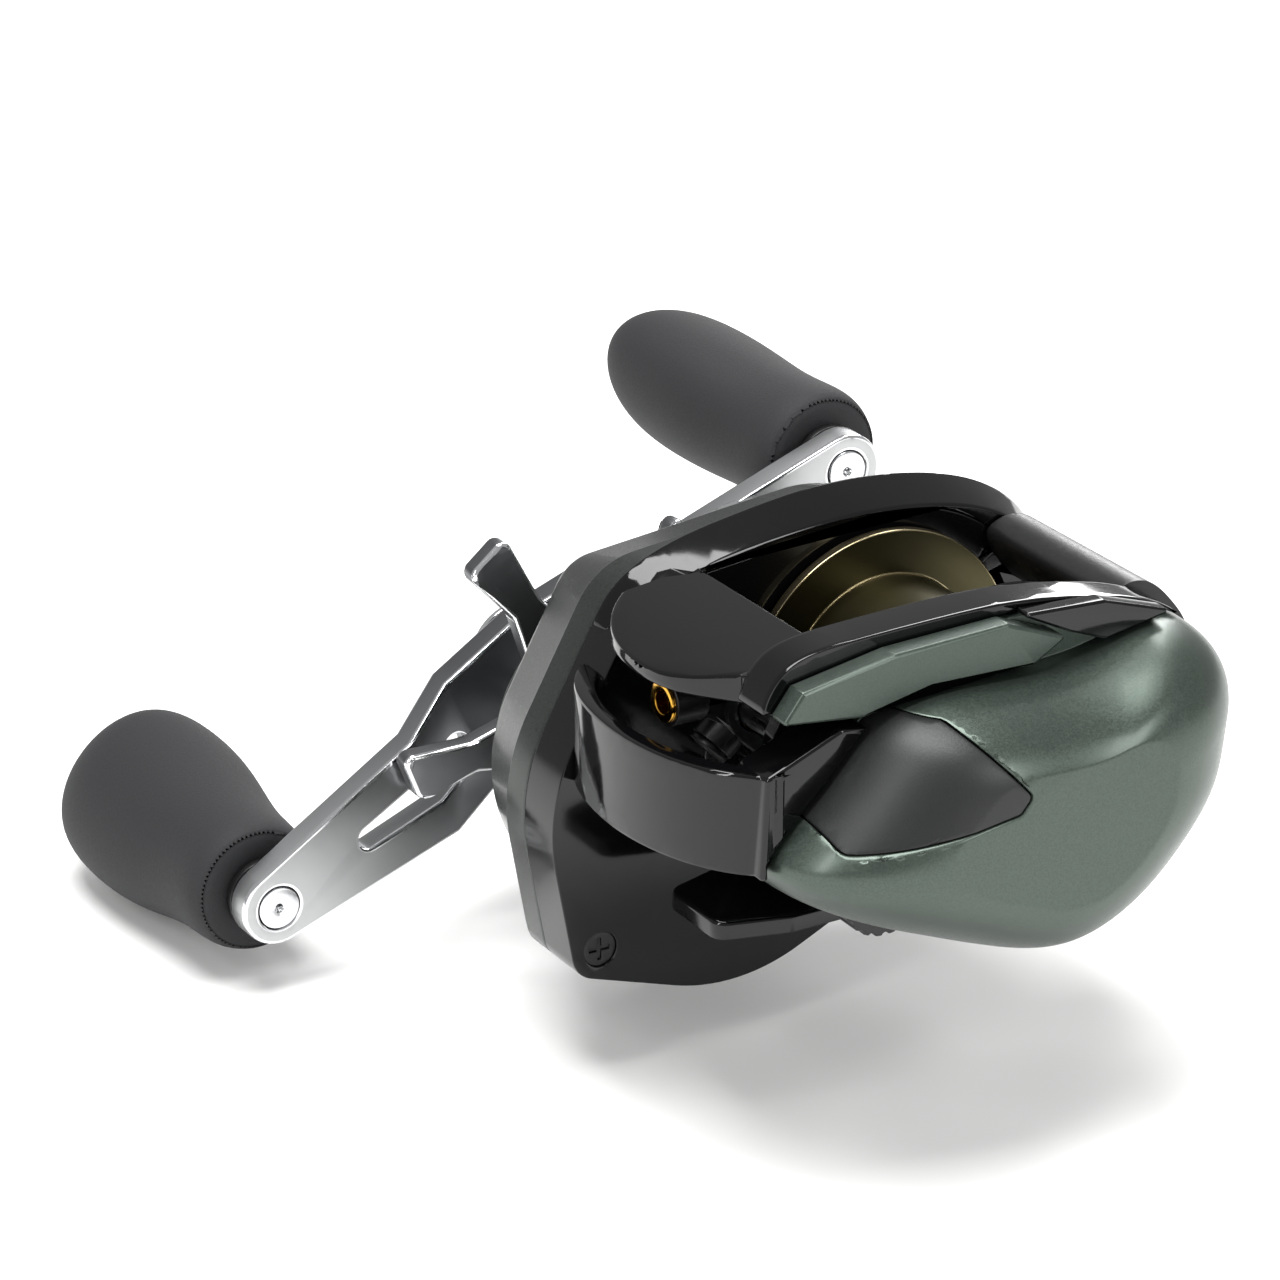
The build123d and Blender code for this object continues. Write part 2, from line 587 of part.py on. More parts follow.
def thumb_bar():
    """Bar behind the spool, between the side walls, with a lug into the gear case."""
    shape_points = [(-15.4, 14.4), (-19.0, 14.9), (-23.2, 11.6), (-25.0, 7.4), (-22.4, 6.2), (-16.6, 9.6)]
    sketch = blob([beside_spool(y, z) for y, z in shape_points])
    bar = prism(sketch, -INNER + GAP, INNER - GAP)
    bar -= rod(-INNER - 1, INNER + 1, SPOOL_R + 1.0, SPOOL)
    tab = hull_of([(LUG, lug_r), (beside_spool(-19.0, 11.5), 1.5)])
    bar += prism(tab, INNER - GAP - 0.3, INNER - GAP)
    return bar + rod(INNER - GAP - 0.3, OUTER + 0.15, lug_r, LUG)


def clutch_plate():
    """Steel plate on the thumb bar's lug, inside the gear case."""
    low = beside_spool(-12.0, 3.0)
    return prism(hull_of([(LUG, 1.0), (low, 1.5)]), OUTER + 0.2, OUTER + 0.8)


keep("pinion_gear", pinion())
keep("clutch_yoke", yoke())
keep("yoke_posts", posts())
keep("yoke_springs", springs())
keep("thumb_bar", thumb_bar())
keep("clutch_plate", clutch_plate())


# ---------------------------------------------------------------- drive train
sleeve_r = 4.5
clutch_r = 7.5
STAR_BACK = BOSS_OUT + 0.6
STAR_FRONT = STAR_X + STAR_T + 1.4
recess_r = 13.0
recess_x = DRIVE_GEAR_X + 1.2
gear_face = DRIVE_GEAR_X + DRIVE_GEAR_T


def drive_gear():
    """Main gear, hollowed for the drag washers."""
    line = DRIVE_ANGLE + 180
    wheel = gear(DRIVE_GEAR_X, DRIVE_GEAR_T, DRIVE_TEETH, DRIVE_SHAFT_R + SEAT, DRIVE, line)
    return wheel - rod(recess_x, gear_face + 1, recess_r, DRIVE)


def guide_drive_gear():
    """Smaller gear behind the main gear, which turns the worm."""
    wheel = gear(GUIDE_GEAR_X, GUIDE_GEAR_T, GUIDE_DRIVE_TEETH, DRIVE_SHAFT_R + SEAT, DRIVE, WORM_ANGLE)
    for i in range(5):
        wheel -= rod(GUIDE_GEAR_X - 1, GUIDE_GEAR_X + 4, 2.0, polar(DRIVE, 7.6, 72 * i))
    return wheel


def ratchet():
    """Ratchet wheel that kicks the clutch back in when the handle turns."""
    points = []
    teeth = 8
    for i in range(teeth):
        points.append(polar(DRIVE, 6.6, 360 * i / teeth))
        points.append(polar(DRIVE, 8.6, 360 * (i + 0.85) / teeth))
    x0 = GUIDE_GEAR_X + GUIDE_GEAR_T + 0.1
    return prism(outline(points), x0, x0 + 0.7) - rod(x0 - 1, x0 + 2, DRIVE_SHAFT_R + SEAT, DRIVE)


def washer(x0, x1, radius):
    """A flat ring on the drive shaft."""
    return tube(x0, x1, radius, DRIVE_SHAFT_R + SEAT, DRIVE)


keep("drive_shaft", rod(OUTER - 0.7, HANDLE_X + HANDLE_T + 2.6, DRIVE_SHAFT_R, DRIVE))
keep("drive_shaft_bearing", ball_bearing(OUTER - 0.8, 1.5, drive_bearing_r, DRIVE_SHAFT_R + RUN, DRIVE))
keep("level_wind_drive_gear", guide_drive_gear())
keep("ratchet_wheel", ratchet())
keep("drive_gear", drive_gear())
drag_washers = [washer(x, x + 0.6, recess_r - 0.3) for x in (recess_x, recess_x + 1.3)]
keep("drag_washers", Compound(children=drag_washers))
keep("drag_key_washer", washer(recess_x + 0.6, recess_x + 1.3, recess_r - 0.5))
keep("drag_pressure_plate", washer(recess_x + 1.9, gear_face + 0.7, recess_r - 0.5))
keep("roller_clutch_sleeve", washer(gear_face + 0.7, BOSS_OUT, sleeve_r))
keep("drag_spring_washers", washer(BOSS_OUT, BOSS_OUT + 0.5, 4.2))


# ---------------------------------------------------------------- handle side plate
clutch_x = gear_face + 3.6


def side_plate():
    """Drafted cover over the gears, with a raised ring for the star and a neck for the cap."""
    shell = prism(plain_profile, CASE_SPLIT, PLATE_OUT, PLATE_TAPER)
    shell = fillet(shell.faces().sort_by(Axis.X)[-1].edges(), 2.0)
    shell += prism(case_profile, CASE_SPLIT, CASE_SPLIT + FLANGE_LEN)
    hollow = prism(cavity_profile, CASE_SPLIT, PLATE_OUT - CASE_WALL, PLATE_TAPER)
    shell -= hollow
    shell += tube(PLATE_OUT - CASE_WALL, BOSS_OUT, BOSS_R, recess_r, DRIVE)
    shell += rod(clutch_x, BOSS_OUT - 0.4, clutch_r + 1.5, DRIVE)
    shell += rod(PLATE_OUT - 2.8, PLATE_OUT, 5.4, SPOOL) + rod(PLATE_OUT - 1, PLATE_OUT + 4.6, CAP_R - 3.0, SPOOL)
    for spot in SCREWS:
        shell += rod(CASE_SPLIT, CASE_SPLIT + FLANGE_LEN, post_r, spot)
    shell -= rod(clutch_x - 1, BOSS_OUT + 1, clutch_r + SEAT, DRIVE)
    shell -= rod(PLATE_OUT - 4, PLATE_OUT - 0.4, 4.0 + SEAT, SPOOL)
    shell -= rod(PLATE_OUT - 4, PLATE_OUT + 3.6, SPOOL_SHAFT_R + 0.3, SPOOL)
    for spot in SCREWS:
        shell -= rod(CASE_SPLIT - 1, CASE_SPLIT + 3.6, screw_r + SEAT, spot)
    return shell


def roller_clutch():
    """One-way bearing that stops the handle turning back."""
    return tube(clutch_x, PLATE_OUT - 0.6, clutch_r, sleeve_r + RUN, DRIVE)


def cast_cap():
    """Fluted screw cap over the end of the spool shaft."""
    x0 = BOSS_OUT + GAP
    cap = rod(x0, x0 + CAP_LEN, CAP_R, SPOOL)
    cap = chamfer(cap.faces().sort_by(Axis.X)[-1].edges(), 0.8)
    for i in range(24):
        cap -= rod(x0 - 1, x0 + CAP_LEN + 1, 0.55, polar(SPOOL, CAP_R + 0.2, 15 * i))
    return cap - rod(x0 - 1, x0 + CAP_LEN - 1.2, CAP_R - 3.0 + RUN, SPOOL)


keep("handle_side_plate", side_plate())
keep("roller_clutch", roller_clutch())
keep("outer_drive_bearing", ball_bearing(PLATE_OUT - 0.5, 2.4, clutch_r, sleeve_r + RUN, DRIVE))
keep("spool_bearing_cap_side", ball_bearing(PLATE_OUT - 2.6, 2.2, 4.0, SPOOL_SHAFT_R + 2 * RUN, SPOOL))
keep("cast_control_cap", cast_cap())


# ---------------------------------------------------------------- star drag and handle
def star_drag():
    """Five swept, flared arms on a threaded hub."""
    arms = Pos(*DRIVE) * Circle(STAR_HUB_R)
    for i in range(STAR_ARMS):
        angle = STAR_FIRST_ARM + 360 * i / STAR_ARMS
        root = polar(DRIVE, STAR_HUB_R - 1.5, angle - 4)
        neck = polar(DRIVE, STAR_R * 0.66, angle)
        tip_a = polar(DRIVE, STAR_R - 1.2, angle + 4)
        tip_b = polar(DRIVE, STAR_R - 1.6, angle - 5)
        arms += hull_of([(root, 4.0), (neck, 1.9)]) + hull_of([(neck, 1.9), (tip_a, 1.2), (tip_b, 1.2)])
    reach = STAR_R + 2
    lean = STAR_SWEEP * (reach - STAR_HUB_R) / (STAR_R - STAR_HUB_R)
    side = [(STAR_X, 0), (STAR_X, STAR_HUB_R), (STAR_X + lean, reach), (STAR_X + lean + STAR_T, reach)]
    side += [(STAR_X + STAR_T, STAR_HUB_R), (STAR_X + STAR_T, 0)]
    dish = Pos(0, *DRIVE) * revolve(make_face(Polyline(*side, close=True)), Axis.X)
    star = prism(arms, STAR_X - 1, STAR_X + lean + STAR_T + 1) & dish
    star += rod(STAR_BACK, STAR_FRONT, STAR_HUB_R - 1.5, DRIVE)
    return star - rod(STAR_BACK - 1, STAR_FRONT + 1, DRIVE_SHAFT_R + RUN, DRIVE)


def along_arm(distance, side=0.0):
    """A (Y, Z) point on the handle, from the drive axis along the front arm and across it."""
    start = polar(DRIVE, distance, HANDLE_ANGLE)
    return polar(start, side, HANDLE_ANGLE + 90)


def handle_arm():
    """Double arm, cranked in towards the reel between the nut and each knob, with two slots."""
    flat = hull_of([(DRIVE, HANDLE_HUB_R), (KNOB_A, HANDLE_END_R)])
    flat += hull_of([(DRIVE, HANDLE_HUB_R), (KNOB_B, HANDLE_END_R)])
    arm = prism(flat, ARM_TIP_X - 1, HANDLE_X + HANDLE_T + 1)
    reach = HANDLE_R + HANDLE_END_R + 2
    bend_in = HANDLE_HUB_R + 2.5
    bend_out = bend_in + 8.0
    top = [(-reach, ARM_TIP_X), (-bend_out, ARM_TIP_X), (-bend_in, HANDLE_X)]
    side = top + [(-d, x) for d, x in reversed(top)]
    side += [(d, x + HANDLE_T) for d, x in reversed(side)]
    ahead = Vector(0, cos(radians(HANDLE_ANGLE)), sin(radians(HANDLE_ANGLE)))
    edge_on = Plane(origin=(0, *DRIVE), x_dir=ahead, z_dir=ahead.cross(Vector(1, 0, 0)))
    band = extrude(edge_on * make_face(Polyline(*side, close=True)), amount=2 * HANDLE_HUB_R, both=True)
    arm = arm & band
    for way in (1, -1):
        slot = hull_of([(along_arm(way * 29.0), 1.3), (along_arm(way * 15.0), 2.4)])
        arm -= prism(slot, ARM_TIP_X - 2, HANDLE_X + HANDLE_T + 2)
    for centre, radius in ((DRIVE, DRIVE_SHAFT_R), (KNOB_A, KNOB_PIN_R), (KNOB_B, KNOB_PIN_R)):
        arm -= rod(ARM_TIP_X - 2, HANDLE_X + HANDLE_T + 2, radius + SEAT, centre)
    return arm


NUT_X = HANDLE_X + HANDLE_T
NUT_LEN = 3.6


def nut():
    """Hexagon nut that holds the handle on."""
    hexagon = Pos(*DRIVE) * Rot(0, 0, HANDLE_ANGLE) * RegularPolygon(5.8, 6)
    body = prism(hexagon, NUT_X, NUT_X + NUT_LEN)
    return body - rod(NUT_X - 1, NUT_X + 2.8, DRIVE_SHAFT_R + SEAT, DRIVE)


def retainer():
    """Cap plate over the nut, screwed to the arm so that the nut can't turn."""
    screw_at = along_arm(8.8)
    plate = prism(hull_of([(DRIVE, 6.4), (screw_at, 1.9)]), NUT_X + NUT_LEN, NUT_X + NUT_LEN + 0.8)
    leg = rod(NUT_X + 0.02, NUT_X + NUT_LEN + 0.4, 1.9, screw_at)
    hole = rod(NUT_X - 1, NUT_X + NUT_LEN + 2, 0.9 + SEAT, screw_at)
    return plate + leg - rod(NUT_X - 1, NUT_X + NUT_LEN, 6.7, DRIVE) - hole


def retainer_screw():
    """Small screw through the retainer."""
    screw_at = along_arm(8.8)
    head = rod(NUT_X + NUT_LEN + 0.82, NUT_X + NUT_LEN + 1.6, 1.6, screw_at)
    return head + rod(NUT_X + 0.1, NUT_X + NUT_LEN + 0.9, 0.9, screw_at)


keep("star_drag", star_drag())
keep("handle_collar", washer(STAR_FRONT + GAP, HANDLE_X, 4.4))
keep("handle_arm", handle_arm())
keep("handle_nut", nut())
keep("nut_retainer", retainer())
keep("retainer_screw", retainer_screw())

knob_shaft_end = KNOB_X + KNOB_LEN - 6.0
sleeve_out_r = 3.2


def knob_shafts():
    """Riveted knob shafts, one at each end of the arm; one node."""
    group = []
    for centre in (KNOB_A, KNOB_B):
        shaft = rod(ARM_TIP_X, ARM_TIP_X + HANDLE_T, KNOB_PIN_R, centre)
        shaft += rod(ARM_TIP_X + HANDLE_T, knob_shaft_end, KNOB_SHAFT_R, centre)
        dimple = Pos(ARM_TIP_X, *centre) * Sphere(0.5)
        group.append(shaft - dimple)
    return Compound(children=group)


def knob_washers():
    """A washer between the arm and each knob; one node."""
    x0 = ARM_TIP_X + HANDLE_T + 0.05
    return Compound(children=[tube(x0, x0 + 1.0, 4.4, KNOB_SHAFT_R + SEAT, c) for c in (KNOB_A, KNOB_B)])


def knob(centre, turn):
    """Soft paddle: round at the neck, wide and flattened towards the end."""
    widths = [(0.0, KNOB_NECK_R * 0.86, KNOB_NECK_R * 0.86), (0.05, KNOB_NECK_R, KNOB_NECK_R)]
    widths += [(0.22, KNOB_NECK_R * 1.08, KNOB_NECK_R * 1.0), (0.45, KNOB_W * 0.47, KNOB_T * 0.49)]
    widths += [(0.7, KNOB_W * 0.5, KNOB_T * 0.5), (0.88, KNOB_W * 0.45, KNOB_T * 0.43)]
    widths += [(0.97, KNOB_W * 0.34, KNOB_T * 0.3), (1.0, KNOB_W * 0.22, KNOB_T * 0.18)]
    sections = []
    for share, wide, thick in widths:
        plane = Plane(origin=(KNOB_X + share * KNOB_LEN, *centre), x_dir=(0, 1, 0), z_dir=(1, 0, 0))
        sections.append(plane * Rot(0, 0, turn) * Ellipse(wide, thick))
    paddle = loft(sections)
    return paddle - rod(KNOB_X - 1, knob_shaft_end + 1.0, sleeve_out_r + SEAT, centre)


def knob_sleeve(centre):
    """Hard liner inside the knob, which turns on the shaft."""
    sleeve = rod(KNOB_X, knob_shaft_end + 0.9, sleeve_out_r, centre)
    return sleeve - rod(KNOB_X - 1, knob_shaft_end + 0.3, KNOB_SHAFT_R + RUN, centre)


keep("knob_shafts", knob_shafts())
keep("knob_washers", knob_washers())
for label, centre, turn in (("front", KNOB_A, 135), ("rear", KNOB_B, 40)):
    keep("knob_" + label, knob(centre, turn))
    keep("knob_sleeve_" + label, knob_sleeve(centre))


# ---------------------------------------------------------------- palm side
LEVER = beside_spool(-9.6, -13.6)
LEVER_TIP = beside_spool(-17.6, -7.2)
LEVER_X = SEAT_LINE - 1.6
HOUSING_SCREWS = [polar(SPOOL, 11.5, angle) for angle in (165, 250, 345)]
panel_points = [(19.0, 11.0), (14.4, 10.6), (8.0, 3.4), (9.4, 1.8), (27.4, -0.6), (28.6, 2.4)]
blade_points = [(31.5, 12.4), (29.0, 15.6), (18.0, 17.4), (4.0, 17.8), (-3.6, 14.8), (0.6, 12.4), (13.4, 12.8)]
blade_points += [(21.6, 11.2)]
strip_points = [(-4.2, 14.9), (2.4, 18.2), (-8.5, 17.6), (-17.6, 14.6), (-16.2, 14.3), (-8.8, 13.1)]
HOUSING_BACK = PALM_IN - 1.5              # outer face of the brake housing
BLADE_X = RAIL_X - SEAM                   # inner face of the blade and the strip
DIAL_X = HOUSING_BACK - GAP - 3.2         # bottom of the dial's pocket
DIAL_PIN_R = 1.5
LEVER_PIN_R = 0.9
panel_back = SEAT_LINE - 3.0              # the panel reaches this far in
PANEL_T = 1.2


def rounded(points, radius):
    """A straight-sided outline with rounded corners, given from the spool axis."""
    sketch = outline([beside_spool(y, z) for y, z in points])
    return fillet(sketch.vertices(), radius)


panel_outline = rounded(panel_points, 0.7)


def palm_plate():
    """Domed shell, pocketed for the panel, the dial and the lever, with the pins that these turn on."""
    shell = dome(0.0, PALM_IN - SEAM) - dome(PALM_WALL, PALM_IN + 1)
    core = dome(PALM_WALL / 2, PALM_IN + 1)
    for spot in HOUSING_SCREWS:
        shell += rod(HOUSING_BACK, PALM_OUT, 1.8, spot) & core
    shell += (rod(DIAL_X - 0.3, PALM_OUT, 2.6, DIAL) + rod(LEVER_X - 2.7, PALM_OUT, 2.0, LEVER)) & core
    backing = rod(HOUSING_BACK, BLADE_X, RING_BORE_R - RUN, SPOOL)
    shell += backing & box(PALM_OUT, PALM_IN, SPOOL[0] - 17, SPOOL[0] + 30, SPOOL[1] + 10.5, SPOOL[1] + 30)
    shell -= rod(PALM_IN + 1, HOUSING_BACK, RING_BORE_R - RUN + SEAT, SPOOL)
    for spot in HOUSING_SCREWS:
        shell -= rod(PALM_IN + 1, SEAT_LINE - 6.0, 0.8 + SEAT, spot)
    window = offset(panel_outline, SEAM)
    shell -= prism(window, PALM_OUT - 1, PALM_IN) & box(PALM_OUT - 1, panel_back, -99, 99, -99, 99)
    shell -= rod(PALM_IN + 1, DIAL_X, DIAL_R + GAP, DIAL)
    swing = polar(LEVER, 30, 190)
    pocket = hull_of([(LEVER, 2.2 + GAP), (LEVER_TIP, 1.4 + GAP), (swing, 1.4)])
    shell -= prism(pocket, PALM_IN + 1, LEVER_X - 2.7)
    shell += rod(HOUSING_BACK - GAP, DIAL_X - 1, DIAL_PIN_R, DIAL)
    return shell + rod(LEVER_X, LEVER_X - 3.5, LEVER_PIN_R, LEVER)


def panel():
    """Skin let into the plate's window, with a lip behind the plate's wall."""
    face = dome(SEAM, PALM_IN + 1) - dome(SEAM + PANEL_T, PALM_IN + 2)
    lip = dome(PALM_WALL, PALM_IN + 1) - dome(PALM_WALL + 0.8, PALM_IN + 2)
    outer_half = box(PALM_OUT - 1, panel_back - SEAM, -99, 99, -99, 99)
    skin = (face & prism(panel_outline, PALM_OUT - 1, PALM_IN)) & outer_half
    wide = prism(offset(panel_outline, 1.0), PALM_OUT - 1, PALM_IN)
    return skin + ((lip & wide) & outer_half)


def dial():
    """Brake dial, fluted at the edge, which shows under the plate."""
    x0 = DIAL_X + GAP
    wheel = rod(x0, HOUSING_BACK - GAP, DIAL_R, DIAL)
    for i in range(20):
        wheel -= rod(x0 - 1, SEAT_LINE + 1, 0.45, polar(DIAL, DIAL_R + 0.1, 18 * i))
    return wheel - rod(x0 - 1, SEAT_LINE + 1, DIAL_PIN_R + RUN, DIAL)


def lever():
    """Catch lever that frees the palm plate."""
    body = prism(hull_of([(LEVER, 2.2), (LEVER_TIP, 1.4)]), LEVER_X, LEVER_X - 2.4)
    return body - rod(SEAT_LINE + 1, LEVER_X - 4, LEVER_PIN_R + RUN, LEVER)


def brake_housing():
    """Plug that fills the frame ring, holds the palm-side bearing and carries the brake ring."""
    plate = rod(PALM_IN + 1.7, HOUSING_BACK, RING_BORE_R - RUN, SPOOL)
    plate -= rod(PALM_IN + 2, PALM_IN - 0.5, RING_BORE_R - 1.4, SPOOL)
    plate += rod(PALM_IN - 1.4, PALM_IN - 5.0, 5.6, SPOOL)
    plate -= rod(PALM_IN - 2.6, PALM_IN - 6, 4.0 + SEAT, SPOOL)
    plate -= rod(PALM_IN + 1, PALM_IN - 6, SPOOL_SHAFT_R + 0.4, SPOOL)
    for spot in HOUSING_SCREWS:
        plate -= rod(PALM_IN + 1, PALM_IN - 3, 0.8 + SEAT, spot)
    return plate


def housing_screws():
    """Screws that hold the brake housing to the palm plate; one node."""
    group = []
    for spot in HOUSING_SCREWS:
        screw = rod(PALM_IN - 0.48, PALM_IN + 0.15, 1.3, spot) + rod(PALM_IN, SEAT_LINE - 5.6, 0.8, spot)
        group.append(screw - box(PALM_IN - 0.1, PALM_IN + 1, spot[0] - 1, spot[0] + 1, spot[1] - 0.2, spot[1] + 0.2))
    return Compound(children=group)


keep("palm_side_plate", palm_plate())
keep("palm_panel", panel())
keep("palm_blade", prism(rounded(blade_points, 0.4), BLADE_X, BLADE_X - 2.8))
keep("palm_strip", prism(rounded(strip_points, 0.3), BLADE_X, BLADE_X - 2.2))
keep("brake_dial", dial())
keep("plate_catch_lever", lever())
keep("brake_housing", brake_housing())
keep("housing_screws", housing_screws())
keep("brake_ring", tube(PALM_IN - 0.5, PALM_IN + 1.5, 9.6, 8.8, SPOOL))
keep("spool_bearing_palm_side", ball_bearing(PALM_IN - 5.0, 2.4, 4.0, SPOOL_SHAFT_R + RUN, SPOOL))


# ---------------------------------------------------------------- written out, one file each
os.makedirs("parts", exist_ok=True)
for name, shape in PARTS.items():
    export_step(shape, "parts/" + name + ".step")
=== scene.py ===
import math

import bmesh
import bpy
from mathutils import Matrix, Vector
from mathutils.bvhtree import BVHTree


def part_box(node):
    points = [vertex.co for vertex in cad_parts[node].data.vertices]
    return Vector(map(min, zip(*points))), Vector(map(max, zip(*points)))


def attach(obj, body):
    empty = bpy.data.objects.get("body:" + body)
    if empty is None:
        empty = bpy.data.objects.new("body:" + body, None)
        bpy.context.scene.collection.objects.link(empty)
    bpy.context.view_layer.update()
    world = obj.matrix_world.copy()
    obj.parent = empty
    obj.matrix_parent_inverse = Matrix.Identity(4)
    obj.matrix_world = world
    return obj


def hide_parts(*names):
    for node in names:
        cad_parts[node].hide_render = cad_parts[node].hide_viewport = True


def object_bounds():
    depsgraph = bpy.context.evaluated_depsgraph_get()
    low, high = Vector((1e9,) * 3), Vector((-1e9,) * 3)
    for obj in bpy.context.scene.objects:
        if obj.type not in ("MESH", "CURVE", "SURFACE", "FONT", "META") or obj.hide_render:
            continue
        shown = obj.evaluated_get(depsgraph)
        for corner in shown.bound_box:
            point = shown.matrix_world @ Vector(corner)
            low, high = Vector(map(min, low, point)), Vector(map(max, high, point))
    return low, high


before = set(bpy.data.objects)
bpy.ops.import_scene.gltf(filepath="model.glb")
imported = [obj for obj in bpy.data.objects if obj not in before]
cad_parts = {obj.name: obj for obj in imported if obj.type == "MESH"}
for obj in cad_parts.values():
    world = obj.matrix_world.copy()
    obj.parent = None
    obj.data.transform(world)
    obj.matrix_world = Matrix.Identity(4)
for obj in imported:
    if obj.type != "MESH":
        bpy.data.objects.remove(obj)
cad_box = [list(corner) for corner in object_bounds()]

# ------------------------------------------------------------------ table and light
# A pale matt table in a large soft light tent, as for a product on a shop's page.
# The camera looks down on the palm side and the front of the reel.
MM = 0.001
TABLE_HALF = 1.6
TABLE_BELOW = 1.0 * MM
TENT_STRENGTH = 0.42
camera_at = Vector((-407.0, 277.5, 235.3)) * MM
looks_at = Vector((44.5, 8.4, 12.2)) * MM
camera = bpy.data.objects.new("camera", bpy.data.cameras.new("camera"))
camera.data.sensor_width = 36.0
camera.data.lens = 140.6
camera.data.clip_start = 0.01
camera.location = camera_at
camera.rotation_euler = (looks_at - camera_at).to_track_quat("-Z", "Y").to_euler()
bpy.context.scene.collection.objects.link(camera)
bpy.context.scene.camera = camera
bpy.context.scene.view_settings.view_transform = "Standard"


def linear(code):
    """An sRGB hex colour as linear red, green, blue and alpha."""
    parts = [int(code[i:i + 2], 16) / 255 for i in (0, 2, 4)]
    dark = [c / 12.92 for c in parts]
    light = [((c + 0.055) / 1.055) ** 2.4 for c in parts]
    return [dark[i] if parts[i] <= 0.04045 else light[i] for i in range(3)] + [1.0]


def add(tree, kind, settings=(), **values):
    """Add a shader node: settings are its properties, values its sockets, by name or as i0."""
    made = tree.nodes.new(kind)
    for key, value in dict(settings).items():
        setattr(made, key, value)
    for key, value in values.items():
        by_number = key[0] == "i" and key[1:].isdigit()
        socket = made.inputs[int(key[1:]) if by_number else key.replace("_", " ")]
        if isinstance(value, bpy.types.NodeSocket):
            tree.links.new(value, socket)
        else:
            socket.default_value = value
    return made


def new_material(name, **values):
    """A new material with these sockets set on its shader; gives material, tree and shader."""
    made = bpy.data.materials.new(name)
    made.use_nodes = True
    shader = made.node_tree.nodes["Principled BSDF"]
    for key, value in values.items():
        shader.inputs[key.replace("_", " ")].default_value = value
    return made, made.node_tree, shader


table, tree, shader = new_material("matt_table", Base_Color=linear("f4f4f3"), Roughness=0.85)
where = add(tree, "ShaderNodeTexCoord").outputs["Object"]
grain = add(tree, "ShaderNodeTexNoise", Vector=where, Scale=900.0, Detail=3.0)
tone = add(tree, "ShaderNodeMapRange", i0=grain.outputs[0], i3=0.84, i4=0.88)
tree.links.new(tone.outputs[0], shader.inputs["Roughness"])
floor_mesh = bmesh.new()
bmesh.ops.create_grid(floor_mesh, x_segments=1, y_segments=1, size=TABLE_HALF)
bmesh.ops.translate(floor_mesh, verts=floor_mesh.verts, vec=(0, 0, cad_box[0][2] - TABLE_BELOW))
floor_data = bpy.data.meshes.new("floor")
floor_mesh.to_mesh(floor_data)
floor_data.materials.append(table)
floor = bpy.data.objects.new("floor", floor_data)
bpy.context.scene.collection.objects.link(floor)

world = bpy.data.worlds.new("tent")
world.use_nodes = True
tent = world.node_tree.nodes["Background"]
tent.inputs["Color"].default_value = (1, 1, 1, 1)
tent.inputs["Strength"].default_value = TENT_STRENGTH
bpy.context.scene.world = world
# Each light: its name, place, aim, width and height in metres, and power in watts.
lights = [
    ("overhead", (0.05, 0.10, 0.85), (0.02, 0.0, 0.0), 0.55, 0.55, 11.0),
    ("front_strip", (-0.20, 0.75, 0.45), (0.0, 0.0, 0.01), 0.10, 0.70, 3.0),
    ("palm_side", (-0.75, -0.30, 0.50), (0.0, 0.0, 0.01), 0.20, 0.50, 3.0),
    ("back_strip", (0.55, -0.55, 0.45), (0.02, 0.0, 0.02), 0.12, 0.70, 3.5),
]
for name, place, aim, wide, high, power in lights:
    lamp = bpy.data.lights.new(name, "AREA")
    lamp.shape = "RECTANGLE"
    lamp.size = wide
    lamp.size_y = high
    lamp.energy = power
    holder = bpy.data.objects.new(name, lamp)
    holder.location = place
    holder.rotation_euler = (Vector(aim) - Vector(place)).to_track_quat("-Z", "Y").to_euler()
    bpy.context.scene.collection.objects.link(holder)

# ------------------------------------------------------------------ cast frame and foot
# One die casting of magnesium: foot, side walls, bars and gear case, sprayed gloss black
# and clear coated. The coat rounds every edge by a few tenths and gives mirror highlights.
lacquer, tree, shader = new_material(
    "gloss_black_lacquer", Base_Color=linear("080809"), Roughness=0.10, Specular_IOR_Level=0.38
)
where = add(tree, "ShaderNodeTexCoord").outputs["Object"]
peel = add(tree, "ShaderNodeTexNoise", Vector=where, Scale=700.0, Detail=2.0)
skin = add(tree, "ShaderNodeBump", Strength=0.05, Distance=0.0001, Height=peel.outputs[0])
tree.links.new(skin.outputs[0], shader.inputs["Normal"])
dust = add(tree, "ShaderNodeTexNoise", Vector=where, Scale=5000.0, Detail=2.0)
tone = add(tree, "ShaderNodeMapRange", i0=dust.outputs[0], i3=0.07, i4=0.14)
tree.links.new(tone.outputs[0], shader.inputs["Roughness"])


def link_mesh(name, mesh, finish, body, slot, *nodes):
    """Put the finished mesh in the scene as a piece on its body, in place of its CAD nodes."""
    data = bpy.data.meshes.new(name)
    mesh.to_mesh(data)
    mesh.free()
    for each in finish:
        data.materials.append(each)
    made = bpy.data.objects.new(name, data)
    bpy.context.scene.collection.objects.link(made)
    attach(made, body)
    if nodes:
        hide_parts(*nodes)
    return made


SAME_POINT = 0.002 * MM
FLAT_WITHIN = math.radians(0.5)
EDGE_OVER = math.radians(28.0)
SHADED_SHARP_OVER = math.radians(32.0)
STRAY_SHARE = 0.6


